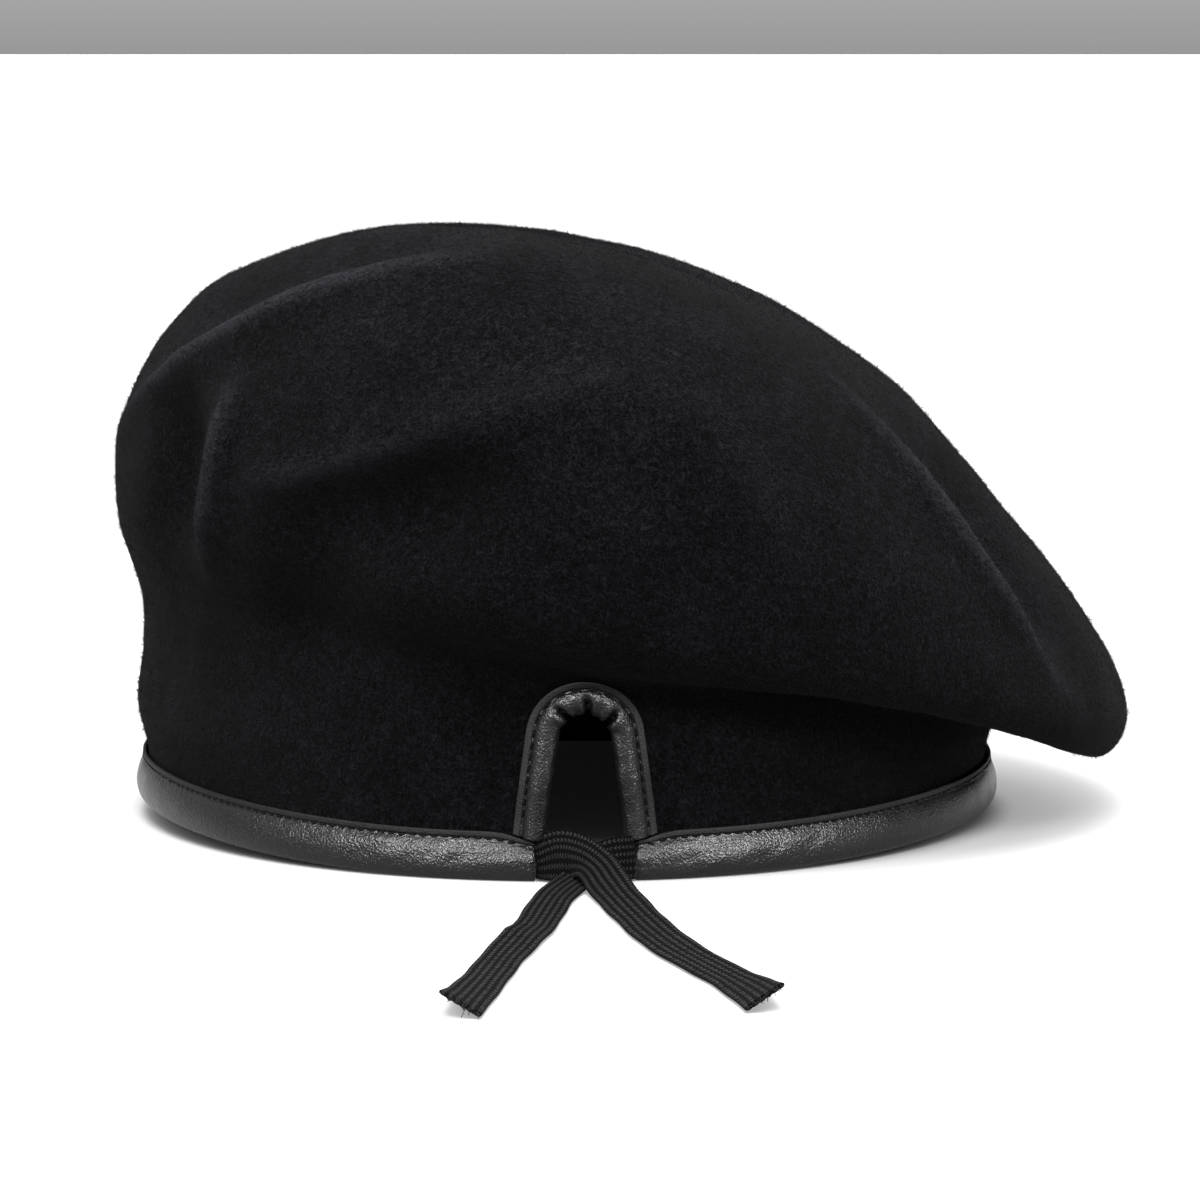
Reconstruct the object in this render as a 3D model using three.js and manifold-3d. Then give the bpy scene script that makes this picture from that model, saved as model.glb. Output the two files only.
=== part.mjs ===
// A black wool military beret, standing on its leather headband and slouched to one side.
// Units are millimetres, +Z is up. The slit with the drawstring faces -Y, the slouch falls to +X.
import * as THREE from "three";
import { mergeVertices } from "three/addons/utils/BufferGeometryUtils.js";
import Module from "manifold-3d";

const wasm = await Module();
wasm.setup();

// Driving dimensions. Radii are taken from the middle of the head opening.
const FELT_THICKNESS = 2.4;
const FELT_WIDTH_RADIUS = 92.6; // outer face of the felt at the hem, left and right
const FELT_DEPTH_RADIUS = 93.6; // the same, near and far
const HEM_HEIGHT = 2.6;
const BAND_HEIGHT = 10;
const RIM_FLAT_SHARE = 0.2; // the rim lies flat, near and far, within this share of its half width
const RIM_LIFT_RIGHT = 3; // and curves up at its sides by this much
const RIM_LIFT_LEFT = 4.2;
const LEATHER_THICKNESS = 0.9;
const PIECE_GAP = 0.3;
const SLIT_X = 4.3; // the slit sits a little off the middle of the back
const SLIT_FOOT_HALF_WIDTH = 9.6;
const SLIT_ARCH_RADIUS = 7;
const SLIT_ARCH_HEIGHT = 29; // centre of the round top
const BAND_GAP_HALF_WIDTH = 10.2;
const TIE_WIDTH = 8.4;
const TIE_THICKNESS = 1;

// The crown's main form: one row for each ring, from the hem up to the middle of the top.
// Each side gives the ring's radius and height there.
const RING_ROWS = [
  { name: "hem", right: [92.6, 2.6], far: [93.6, 2.6], left: [92.6, 2.6], near: [93.6, 2.6] },
  { name: "band_top", right: [92.6, 10.6], far: [93.6, 10.6], left: [92.6, 10.6], near: [93.6, 10.6] },
  { name: "wall", right: [94, 19], far: [94.5, 22], left: [94.8, 23], near: [94.3, 21] },
  { name: "waist", right: [94.5, 29], far: [94.5, 38], left: [93.3, 38], near: [94.3, 32] },
  { name: "hollow", right: [99.5, 35], far: [97, 47], left: [93.2, 48], near: [95.2, 38] },
  { name: "under", right: [109, 26], far: [103, 52], left: [95.4, 57], near: [98, 43] },
  { name: "lip", right: [117.5, 13.5], far: [109, 60], left: [98, 66], near: [104.5, 47.5] },
  { name: "rim", right: [123.6, 20.5], far: [112.5, 72], left: [98.8, 75], near: [109, 57.5] },
  { name: "rim_upper", right: [120.5, 32.5], far: [112, 86], left: [97.8, 84.5], near: [110.5, 81] },
  { name: "flank", right: [112, 46.5], far: [107, 100.5], left: [94.3, 94.5], near: [107, 98.5] },
  { name: "shoulder", right: [100, 62], far: [98, 112.5], left: [88, 105], near: [98.5, 113] },
  { name: "crest", right: [85.7, 79], far: [86, 120], left: [77.5, 115.6], near: [85, 123.6] },
  { name: "top_outer", right: [70, 95.5], far: [68, 123.5], left: [62, 122.3], near: [68, 127.5] },
  { name: "top_middle", right: [48, 110.4], far: [45, 124.5], left: [42, 127.5], near: [45, 127.5] },
  { name: "top_inner", right: [22, 121.4], far: [22, 125], left: [21, 127.6], near: [22, 127] },
  { name: "pole", right: [0, 125.8], far: [0, 125.8], left: [0, 125.8], near: [0, 125.8] },
];

// Halfway round from the right to the near side, the rings lie this much higher.
const CORNER_ROWS = [
  { name: "waist", height: 3 },
  { name: "hollow", height: 5.5 },
  { name: "under", height: 7 },
  { name: "lip", height: 7 },
  { name: "rim", height: 4 },
  { name: "rim_upper", height: 1.5 },
];

// Folds and dents run over the crown from one point to another by way of a third.
// Width is the reach to either side, and a positive push stands proud.
const FOLD_ROWS = [
  { name: "left_ridge", from: [-97, 2, 76], via: [-69, -68, 109], to: [0, -84, 130], width: 6, push: 3.2 },
  { name: "left_dip", from: [-92, -10, 94], via: [-56, -56, 120], to: [0, -68, 130], width: 13, push: -7 },
  { name: "right_ridge", from: [50, -66, 106], via: [82, -72, 66], to: [112, -50, 24], width: 6, push: 3.2 },
  { name: "right_dip", from: [60, -42, 104], via: [92, -54, 64], to: [114, -40, 30], width: 13, push: -7.5 },
  { name: "left_dent", from: [-77, -64, 104], via: [-82, -60, 78], to: [-84, -48, 46], width: 10, push: -7 },
  { name: "left_fold", from: [-66, -76, 105], via: [-71, -76, 80], to: [-74, -62, 52], width: 5, push: 2.8 },
  { name: "mid_ridge", from: [-74, -74, 78], via: [-32, -102, 88.5], to: [22, -100, 108], width: 7, push: 3.6 },
  { name: "mid_dip", from: [-62, -81, 76], via: [-36, -100, 76], to: [-6, -107, 84], width: 13, push: -6.5 },
  { name: "low_dip", from: [-44, -95, 74], via: [-50, -88, 58], to: [-56, -78, 36], width: 13, push: -3.5 },
  { name: "soft_ridge", from: [8, -97, 112], via: [31, -104, 86], to: [50, -99, 52], width: 11, push: 1.4 },
];

// Middle lines of the two ends of the elastic drawstring, from the band out over the surface below.
// Tilt is how far, in degrees, the tape leans up from lying flat.
const TIE_TO_RIGHT_ROWS = [
  { x: -4.4, y: -95, z: 5.2, tilt: 90 },
  { x: -1, y: -97.4, z: 6.8, tilt: 72 },
  { x: 3, y: -100.8, z: 6.6, tilt: 52 },
  { x: 6.4, y: -104.8, z: 5, tilt: 38 },
  { x: 8.7, y: -111.5, z: 3, tilt: 28 },
  { x: 10.4, y: -119, z: 2.1, tilt: 20 },
  { x: 14.1, y: -137.7, z: 1.6, tilt: 13 },
  { x: 18, y: -156.7, z: 1.5, tilt: 12 },
  { x: 22.3, y: -172, z: 1.3, tilt: 9 },
  { x: 26.6, y: -184.2, z: 1.2, tilt: 7 },
  { x: 31.1, y: -197, z: 1.3, tilt: 9 },
  { x: 34.2, y: -210, z: 2.1, tilt: 20 },
  { x: 36, y: -220, z: 2.9, tilt: 32 },
];
const TIE_TO_LEFT_ROWS = [
  { x: 13.9, y: -94.6, z: 5.2, tilt: 90 },
  { x: 9.6, y: -95.4, z: 4.6, tilt: 72 },
  { x: 5.6, y: -97.6, z: 2.8, tilt: 34 },
  { x: 2.4, y: -101.4, z: 1.4, tilt: 6 },
  { x: 0.2, y: -107, z: 0.9, tilt: 3 },
  { x: -1.8, y: -116.5, z: 0.8, tilt: 2 },
  { x: -5.3, y: -146.4, z: 0.9, tilt: 2 },
  { x: -6.8, y: -155.5, z: 1.4, tilt: 9 },
  { x: -8.2, y: -163, z: 1.2, tilt: 6 },
  { x: -10.8, y: -177, z: 0.9, tilt: 3 },
  { x: -13, y: -193, z: 1, tilt: 4 },
  { x: -15.3, y: -211, z: 1.7, tilt: 14 },
  { x: -16.9, y: -225, z: 2.8, tilt: 30 },
];

// Sampling of the faceted solids.
const CROWN_SIDES = 64;
const STEPS_PER_ROW = 2;
const FOLD_SAMPLES = 12;
const FOLD_FADE = 0.4; // share of a fold's length over which each end fades

// Catmull-Rom value between the second and third of four numbers.
function catmullRom(a, b, c, d, t) {
  const slopeIn = (c - a) / 2;
  const slopeOut = (d - b) / 2;
  const t2 = t * t;
  const t3 = t2 * t;
  const [near, far] = [2 * t3 - 3 * t2 + 1, 3 * t2 - 2 * t3];
  return b * near + c * far + slopeIn * (t3 - 2 * t2 + t) + slopeOut * (t3 - t2);
}

// The smooth curve through one value for each row, read at a place between the rows.
function alongRows(value, place) {
  const row = Math.min(Math.floor(place), RING_ROWS.length - 2);
  return catmullRom(value(row - 1), value(row), value(row + 1), value(row + 2), place - row);
}

// One side's radius (item 0) or height (item 1) at a place between the rows.
function sideValue(side, item, place) {
  const last = RING_ROWS.length - 1;
  return alongRows((row) => {
    if (row < 0) return 2 * RING_ROWS[0][side][item] - RING_ROWS[1][side][item];
    if (row > last) return item === 0 ? -RING_ROWS[last - 1][side][0] : RING_ROWS[last - 1][side][1];
    return RING_ROWS[row][side][item];
  }, place);
}

function cornerHeight(place) {
  return alongRows((row) => {
    const corner = CORNER_ROWS.find(({ name }) => name === RING_ROWS[row]?.name);
    return corner ? corner.height : 0;
  }, place);
}

function rowNumber(rowName) {
  return RING_ROWS.findIndex(({ name }) => name === rowName);
}

// How far the rim stands off the surface below at an azimuth.
function rimLift(azimuth) {
  const aside = Math.max(0, Math.abs(Math.cos(azimuth)) - RIM_FLAT_SHARE) / (1 - RIM_FLAT_SHARE);
  return aside ** 2 * (Math.cos(azimuth) > 0 ? RIM_LIFT_RIGHT : RIM_LIFT_LEFT);
}

// The main form without folds: place runs up through the rows, azimuth round from +X.
function mainForm(place, azimuth) {
  const cos = Math.cos(azimuth);
  const sin = Math.sin(azimuth);
  const across = Math.max(sideValue(cos > 0 ? "right" : "left", 0, place), 1e-6);
  const along = Math.max(sideValue(sin > 0 ? "far" : "near", 0, place), 1e-6);
  const corner = cos > 0 && sin < 0 ? Math.sin(2 * azimuth) ** 2 : 0;
  const radius = 1 / Math.hypot(cos / across, sin / along);
  const right = sideValue("right", 1, place);
  const left = sideValue("left", 1, place);
  const far = sideValue("far", 1, place);
  const near = sideValue("near", 1, place);
  const liftShare = 1 - THREE.MathUtils.smoothstep(place, rowNumber("band_top"), rowNumber("waist"));
  const height =
    (right + left + far + near) / 4 +
    ((right - left) / 2) * cos +
    ((far - near) / 2) * sin +
    ((right + left - far - near) / 4) * Math.cos(2 * azimuth) +
    corner * cornerHeight(place) +
    liftShare * rimLift(azimuth);
  return new THREE.Vector3(radius * cos, radius * sin, height);
}

const foldPaths = FOLD_ROWS.map((fold) => {
  const [from, via, to] = [fold.from, fold.via, fold.to].map((p) => new THREE.Vector3(...p));
  const points = [];
  for (let i = 0; i <= FOLD_SAMPLES; i++) {
    const s = i / FOLD_SAMPLES;
    points.push(
      new THREE.Vector3()
        .addScaledVector(from, (1 - s) * (1 - 2 * s))
        .addScaledVector(via, 4 * s * (1 - s))
        .addScaledVector(to, s * (2 * s - 1))
    );
  }
  const lines = points.slice(1).map((point, i) => new THREE.Line3(points[i], point));
  return { lines, width: fold.width, push: fold.push };
});

// How far the folds push the felt out at a point of the main form. Each fold fades at both ends.
function foldHeight(point) {
  let sum = 0;
  const closest = new THREE.Vector3();
  for (const { lines, width, push } of foldPaths) {
    let nearest = Infinity;
    let place = 0;
    lines.forEach((line, i) => {
      const along = line.closestPointToPointParameter(point, true);
      const away = line.at(along, closest).distanceTo(point);
      if (away < nearest) {
        nearest = away;
        place = (i + along) / lines.length;
      }
    });
    const fade = THREE.MathUtils.smoothstep(Math.min(place, 1 - place), 0, FOLD_FADE);
    sum += push * fade * Math.exp(-((nearest / width) ** 2));
  }
  return sum;
}

// A grid of points on the crown's outer face, one list for each ring, and the normals there.
function crownGrid() {
  const rings = (RING_ROWS.length - 1) * STEPS_PER_ROW;
  const azimuth = (i) => ((i % CROWN_SIDES) / CROWN_SIDES) * 2 * Math.PI;
  const surface = (pointAt) => {
    const grid = [];
    for (let j = 0; j < rings; j++) {
      grid.push(Array.from({ length: CROWN_SIDES }, (_, i) => pointAt(j, i)));
    }
    return grid;
  };
  const pole = mainForm(RING_ROWS.length - 1, 0);
  const normals = (grid, top) =>
    grid.map((ring, j) =>
      ring.map((point, i) => {
        const round = ring[(i + 1) % CROWN_SIDES].clone().sub(ring[(i + CROWN_SIDES - 1) % CROWN_SIDES]);
        const above = j + 1 < grid.length ? grid[j + 1][i] : top;
        const below = j > 0 ? grid[j - 1][i] : point;
        return round.cross(above.clone().sub(below)).normalize();
      })
    );
  const plain = surface((j, i) => mainForm(j / STEPS_PER_ROW, azimuth(i)));
  const plainNormals = normals(plain, pole);
  const folded = surface((j, i) =>
    plain[j][i].clone().addScaledVector(plainNormals[j][i], foldHeight(plain[j][i]))
  );
  return { grid: folded, normals: normals(folded, pole), pole };
}

function geometryOf(positions, index) {
  const geometry = new THREE.BufferGeometry();
  geometry.setAttribute("position", new THREE.Float32BufferAttribute(positions, 3));
  geometry.setIndex(index);
  return geometry;
}

// A closed geometry from a stack of rings with a point at either end.
function stackedRings(bottomPoint, rings, topPoint) {
  const sides = rings[0].length;
  const positions = [];
  rings.forEach((ring) => ring.forEach((p) => positions.push(p.x, p.y, p.z)));
  const index = [];
  for (let j = 0; j + 1 < rings.length; j++) {
    for (let i = 0; i < sides; i++) {
      const a = j * sides + i;
      const b = j * sides + ((i + 1) % sides);
      index.push(a, b, b + sides, a, b + sides, a + sides);
    }
  }
  const bottom = positions.length / 3;
  positions.push(bottomPoint.x, bottomPoint.y, bottomPoint.z, topPoint.x, topPoint.y, topPoint.z);
  const lastRing = (rings.length - 1) * sides;
  for (let i = 0; i < sides; i++) {
    const next = (i + 1) % sides;
    index.push(bottom, next, i);
    index.push(bottom + 1, lastRing + i, lastRing + next);
  }
  return geometryOf(positions, index);
}

// A closed geometry over sections of one outline, in order along a path, with both ends shut.
function closedSweep(outline, sections) {
  const count = outline.length;
  const positions = [];
  sections.forEach((section) => section.forEach((p) => positions.push(p.x, p.y, p.z)));
  const index = [];
  for (let j = 0; j + 1 < sections.length; j++) {
    for (let i = 0; i < count; i++) {
      const a = j * count + i;
      const b = j * count + ((i + 1) % count);
      index.push(a, b, b + count, a, b + count, a + count);
    }
  }
  const lastSection = (sections.length - 1) * count;
  for (const [a, b, c] of THREE.ShapeUtils.triangulateShape(outline, [])) {
    index.push(c, b, a);
    index.push(lastSection + a, lastSection + b, lastSection + c);
  }
  return geometryOf(positions, index);
}

// Sweeps a flat outline through frames of { origin, across, up }.
function sweep(outline, frames) {
  const sections = frames.map(({ origin, across, up }) =>
    outline.map((p) => origin.clone().addScaledVector(across, p.x).addScaledVector(up, p.y))
  );
  return closedSweep(outline, sections);
}

function toSolid(geometry) {
  const bare = new THREE.BufferGeometry().setAttribute("position", geometry.getAttribute("position"));
  if (geometry.index) bare.setIndex(geometry.index);
  const merged = mergeVertices(bare, 1e-3);
  return new wasm.Manifold(
    new wasm.Mesh({
      numProp: 3,
      vertProperties: merged.attributes.position.array,
      triVerts: new Uint32Array(merged.index.array),
    })
  );
}

function toGeometry(solid) {
  const { vertProperties, triVerts } = solid.getMesh();
  return geometryOf(Array.from(vertProperties), Array.from(triVerts));
}

// How far the slit's legs lean out towards the hem.
function slitSpread() {
  return Math.atan2(SLIT_FOOT_HALF_WIDTH - SLIT_ARCH_RADIUS, SLIT_ARCH_HEIGHT - BAND_HEIGHT);
}

// The slit's outline in the felt: legs that spread towards the hem under a round top.
function slitShape() {
  const spread = slitSpread();
  const foot = SLIT_ARCH_RADIUS / Math.cos(spread) + SLIT_ARCH_HEIGHT * Math.tan(spread);
  const shape = new THREE.Shape();
  shape.moveTo(-foot, 0);
  shape.lineTo(foot, 0);
  shape.absarc(0, SLIT_ARCH_HEIGHT, SLIT_ARCH_RADIUS, spread, Math.PI - spread, false);
  shape.closePath();
  return shape;
}

function crownGeometry() {
  const { grid, normals, pole } = crownGrid();
  const inner = grid.map((ring, j) =>
    ring.map((p, i) => p.clone().addScaledVector(normals[j][i], -FELT_THICKNESS))
  );
  inner[0].forEach((p, i) => (p.z = grid[0][i].z));
  const innerPole = pole.clone().add(new THREE.Vector3(0, 0, -FELT_THICKNESS));
  const shell = stackedRings(innerPole, [...inner.reverse(), ...grid], pole);
  const cutDepth = 40;
  const cutSettings = { depth: cutDepth, bevelEnabled: false, curveSegments: 12 };
  const cut = new THREE.ExtrudeGeometry(slitShape(), cutSettings);
  cut.rotateX(Math.PI / 2);
  cut.translate(SLIT_X, -(FELT_DEPTH_RADIUS - cutDepth / 2), 0);
  return toGeometry(toSolid(shell).subtract(toSolid(cut)));
}

// A point on the felt's outer face at the height of the rim's underside, and the way out from it.
function wallFrame(azimuth) {
  const point = new THREE.Vector3(
    FELT_WIDTH_RADIUS * Math.cos(azimuth),
    FELT_DEPTH_RADIUS * Math.sin(azimuth),
    rimLift(azimuth)
  );
  const out = new THREE.Vector3(
    Math.cos(azimuth) / FELT_WIDTH_RADIUS,
    Math.sin(azimuth) / FELT_DEPTH_RADIUS,
    0
  ).normalize();
  return { point, out };
}

// The leather wrapped round the hem: a padded roll outside, a plain leaf inside, the felt between.
function bandGeometry() {
  const felt = -FELT_THICKNESS - PIECE_GAP;
  const outline = [
    [PIECE_GAP, BAND_HEIGHT],
    [PIECE_GAP, HEM_HEIGHT - PIECE_GAP],
    [felt, HEM_HEIGHT - PIECE_GAP],
    [felt, BAND_HEIGHT],
    [felt - LEATHER_THICKNESS, BAND_HEIGHT],
    [felt - LEATHER_THICKNESS, 2],
    [felt - 0.4, 0.6],
    [felt + 0.4, 0],
    [1.2, 0],
    [2.1, 0.8],
    [2.5, 2.4],
    [2.3, 4.8],
    [1.8, 6.9],
    [1.1, 8.5],
    [1.1, BAND_HEIGHT],
  ].map(([x, y]) => new THREE.Vector2(x, y));
  const bandSteps = 60;
  const start = 2 * Math.PI - Math.acos((SLIT_X - BAND_GAP_HALF_WIDTH) / FELT_WIDTH_RADIUS);
  const end = -Math.acos((SLIT_X + BAND_GAP_HALF_WIDTH) / FELT_WIDTH_RADIUS);
  const up = new THREE.Vector3(0, 0, 1);
  const frames = [];
  for (let i = 0; i <= bandSteps; i++) {
    const { point, out } = wallFrame(start + ((end - start) * i) / bandSteps);
    frames.push({ origin: point, across: out, up });
  }
  return sweep(outline, frames);
}

// The felt's outer face at a given x and height on the near side, without folds.
function nearWall(x, z) {
  let azimuth = -Math.PI / 2;
  let point;
  for (let round = 0; round < 4; round++) {
    let [low, high] = [0, rowNumber("rim")];
    for (let halving = 0; halving < 24; halving++) {
      const middle = (low + high) / 2;
      if (mainForm(middle, azimuth).z < z) low = middle;
      else high = middle;
    }
    point = mainForm(low, azimuth);
    azimuth = -Math.acos(x / Math.hypot(point.x, point.y));
  }
  return point;
}

// A point near that face: over the opening by b from a place on the slit's edge, and proud by n.
function besideSlit(edge, inward, b, n) {
  const x = SLIT_X + edge.x + inward.x * b;
  const z = edge.y + inward.y * b;
  const point = nearWall(x, z);
  const step = 0.5;
  const across = nearWall(x + step, z).sub(nearWall(x - step, z));
  const upwards = nearWall(x, z + step).sub(nearWall(x, z - step));
  const outward = across.cross(upwards).normalize();
  point.y += n / outward.y;
  return point;
}

// The leather folded over the slit's edge: a flat strip outside, a roll on the edge, a leaf inside.
function bindingGeometry() {
  const slotFront = PIECE_GAP;
  const slotBack = -FELT_THICKNESS - PIECE_GAP;
  const leafBack = slotBack - LEATHER_THICKNESS;
  const outline = [
    [PIECE_GAP, slotFront],
    [PIECE_GAP, slotBack],
    [-2, slotBack],
    [-5, slotBack],
    [-5, leafBack],
    [-0.6, leafBack],
    [0.8, -3.3],
    [1.5, -2.4],
    [1.7, -0.7],
    [1.5, 0.9],
    [0.7, 2],
    [-0.7, 2.4],
    [-2.3, 2.1],
    [-3.2, 1.5],
    [-3.4, 1],
    [-5, 0.9],
    [-5, slotFront],
    [-2, slotFront],
  ].map(([b, n]) => new THREE.Vector2(b, n));
  const legSteps = 6;
  const archSteps = 16;
  const foot = BAND_HEIGHT + PIECE_GAP;
  const spread = slitSpread();
  const stations = [];
  const leg = (side, share) => {
    const height = THREE.MathUtils.lerp(foot, SLIT_ARCH_HEIGHT + SLIT_ARCH_RADIUS * Math.sin(spread), share);
    const width = SLIT_ARCH_RADIUS / Math.cos(spread) + (SLIT_ARCH_HEIGHT - height) * Math.tan(spread);
    const turn = share * spread;
    const inward = new THREE.Vector2(-side * Math.cos(turn), -Math.sin(turn));
    stations.push({ edge: new THREE.Vector2(side * width, height), inward });
  };
  for (let i = 0; i < legSteps; i++) leg(1, i / legSteps);
  for (let i = 0; i <= archSteps; i++) {
    const angle = THREE.MathUtils.lerp(spread, Math.PI - spread, i / archSteps);
    const out = new THREE.Vector2(Math.cos(angle), Math.sin(angle));
    const edge = out.clone().multiplyScalar(SLIT_ARCH_RADIUS).add(new THREE.Vector2(0, SLIT_ARCH_HEIGHT));
    stations.push({ edge, inward: out.negate() });
  }
  for (let i = legSteps - 1; i >= 0; i--) leg(-1, i / legSteps);
  const sections = stations.map(({ edge, inward }) =>
    outline.map((p) => besideSlit(edge, inward, p.x, p.y))
  );
  return closedSweep(outline, sections);
}

// A flat tape along a table of places, given the side on which its upper edge ends up.
function tieGeometry(rows, side) {
  const line = new THREE.CatmullRomCurve3(rows.map(({ x, y, z }) => new THREE.Vector3(x, y, z)));
  const stepsPerRow = 3;
  const edge = 0.3; // the corners are taken off by this much
  const [halfWidth, halfThickness] = [TIE_WIDTH / 2, TIE_THICKNESS / 2];
  const outline = [
    [-halfWidth, -halfThickness + edge],
    [-halfWidth + edge, -halfThickness],
    [halfWidth - edge, -halfThickness],
    [halfWidth, -halfThickness + edge],
    [halfWidth, halfThickness - edge],
    [halfWidth - edge, halfThickness],
    [-halfWidth + edge, halfThickness],
    [-halfWidth, halfThickness - edge],
  ].map(([x, y]) => new THREE.Vector2(x, y));
  const up = new THREE.Vector3(0, 0, 1);
  const frames = [];
  const last = rows.length - 1;
  for (let i = 0; i <= last * stepsPerRow; i++) {
    const place = i / stepsPerRow;
    const row = Math.min(Math.floor(place), last - 1);
    const tilt = THREE.MathUtils.degToRad(
      THREE.MathUtils.lerp(rows[row].tilt, rows[row + 1].tilt, place - row)
    );
    const ahead = line.getTangent(place / last);
    const level = up.clone().cross(ahead).normalize().multiplyScalar(side);
    const lifted = ahead.clone().cross(level).normalize().multiplyScalar(side);
    const across = level.clone().multiplyScalar(Math.cos(tilt)).addScaledVector(lifted, Math.sin(tilt));
    const face = ahead.clone().cross(across).normalize();
    frames.push({ origin: line.getPoint(place / last), across, up: face });
  }
  return sweep(outline, frames);
}

const felt = new THREE.MeshStandardMaterial({ color: 0x17181b, roughness: 0.96, metalness: 0 });
const leather = new THREE.MeshStandardMaterial({ color: 0x1b1b1d, roughness: 0.45, metalness: 0 });
const elastic = new THREE.MeshStandardMaterial({ color: 0x2b2b2d, roughness: 0.9, metalness: 0 });

function piece(name, geometry, material) {
  const mesh = new THREE.Mesh(geometry, material);
  mesh.name = name;
  geometry.computeVertexNormals();
  return mesh;
}

const beret = new THREE.Group();
beret.add(piece("crown", crownGeometry(), felt));
beret.add(piece("band", bandGeometry(), leather));
beret.add(piece("notch_binding", bindingGeometry(), leather));

// The origin is under the middle of the hat itself, at the surface it stands on.
const box = new THREE.Box3().setFromObject(beret);
const middle = box.getCenter(new THREE.Vector3());
beret.add(piece("tie_left", tieGeometry(TIE_TO_LEFT_ROWS, -1), elastic));
beret.add(piece("tie_right", tieGeometry(TIE_TO_RIGHT_ROWS, 1), elastic));
beret.children.forEach((mesh) => mesh.geometry.translate(-middle.x, -middle.y, -box.min.z));

export default beret;
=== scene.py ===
import math

import bpy
import numpy as np
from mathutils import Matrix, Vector, noise


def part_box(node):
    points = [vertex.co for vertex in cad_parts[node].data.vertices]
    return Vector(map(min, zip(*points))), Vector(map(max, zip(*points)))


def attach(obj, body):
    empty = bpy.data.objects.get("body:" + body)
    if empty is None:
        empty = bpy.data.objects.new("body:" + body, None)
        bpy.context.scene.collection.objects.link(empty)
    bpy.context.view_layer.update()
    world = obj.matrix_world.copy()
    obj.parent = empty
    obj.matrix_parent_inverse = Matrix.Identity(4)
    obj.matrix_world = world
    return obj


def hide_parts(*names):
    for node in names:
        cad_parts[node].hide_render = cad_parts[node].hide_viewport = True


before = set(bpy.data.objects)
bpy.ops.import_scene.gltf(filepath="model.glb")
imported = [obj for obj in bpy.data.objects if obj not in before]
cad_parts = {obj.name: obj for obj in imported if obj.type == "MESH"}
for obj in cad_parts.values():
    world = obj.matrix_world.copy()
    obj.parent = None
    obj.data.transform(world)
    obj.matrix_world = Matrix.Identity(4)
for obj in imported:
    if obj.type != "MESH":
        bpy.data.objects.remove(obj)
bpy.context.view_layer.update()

# Sizes and rows below are in millimetres from the middle of the head opening, and a place
# becomes metres in the row's frame when its mesh is made. The cords are in metres already.
MM = 0.001
FELT_THICKNESS = 2.4
FELT_WIDTH_RADIUS = 92.6
FELT_DEPTH_RADIUS = 93.6
ROLL_DEPTH = 2.5  # the band's roll stands this proud of the felt
BAND_HEIGHT = 10
RIM_FLAT_SHARE = 0.2  # the rim lies flat, near and far, within this share of its half width
RIM_LIFT_RIGHT = 3  # and curves up at its sides by this much
RIM_LIFT_LEFT = 4.2
PIECE_GAP = 0.3
SLIT_X = 4.3
SLIT_FOOT_HALF_WIDTH = 9.6
SLIT_ARCH_RADIUS = 7
SLIT_ARCH_HEIGHT = 29
SLIT_SPREAD = math.atan2(SLIT_FOOT_HALF_WIDTH - SLIT_ARCH_RADIUS, SLIT_ARCH_HEIGHT - BAND_HEIGHT)
BAND_GAP_HALF_WIDTH = 10.2
TIE_WIDTH = 0.0084
TIE_THICKNESS = 0.001

band_low, band_high = (np.array(corner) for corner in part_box("band"))
RING_CENTRE = np.array([
    (band_low[0] + band_high[0]) / 2,
    band_high[1] - (FELT_DEPTH_RADIUS + ROLL_DEPTH) * MM,
    0.0,
])

# The crown's rings: radius and height at the right, far, left and near side.
RING_ROWS = [
    ("hem", (92.6, 2.6), (93.6, 2.6), (92.6, 2.6), (93.6, 2.6)),
    ("band_top", (92.6, 10.6), (93.6, 10.6), (92.6, 10.6), (93.6, 10.6)),
    ("wall", (94, 19), (94.5, 22), (94.8, 23), (94.3, 21)),
    ("waist", (94.5, 29), (94.5, 38), (93.3, 38), (94.3, 32)),
    ("hollow", (99.5, 35), (97, 47), (93.2, 48), (95.2, 38)),
    ("under", (109, 26), (103, 52), (95.4, 57), (98, 43)),
    ("lip", (117.5, 13.5), (109, 60), (98, 66), (104.5, 47.5)),
    ("rim", (123.6, 20.5), (112.5, 72), (98.8, 75), (109, 57.5)),
    ("rim_upper", (120.5, 32.5), (112, 86), (97.8, 84.5), (110.5, 81)),
    ("flank", (112, 46.5), (107, 100.5), (94.3, 94.5), (107, 98.5)),
    ("shoulder", (100, 62), (98, 112.5), (88, 105), (98.5, 113)),
    ("crest", (85.7, 79), (86, 120), (77.5, 115.6), (85, 123.6)),
    ("top_outer", (70, 95.5), (68, 123.5), (62, 122.3), (68, 127.5)),
    ("top_middle", (48, 110.4), (45, 124.5), (42, 127.5), (45, 127.5)),
    ("top_inner", (22, 121.4), (22, 125), (21, 127.6), (22, 127)),
    ("pole", (0, 125.8), (0, 125.8), (0, 125.8), (0, 125.8)),
]
SIDES = {"right": 1, "far": 2, "left": 3, "near": 4}
CORNER_HEIGHTS = {"waist": 3, "hollow": 5.5, "under": 7, "lip": 7, "rim": 4, "rim_upper": 1.5}

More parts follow.
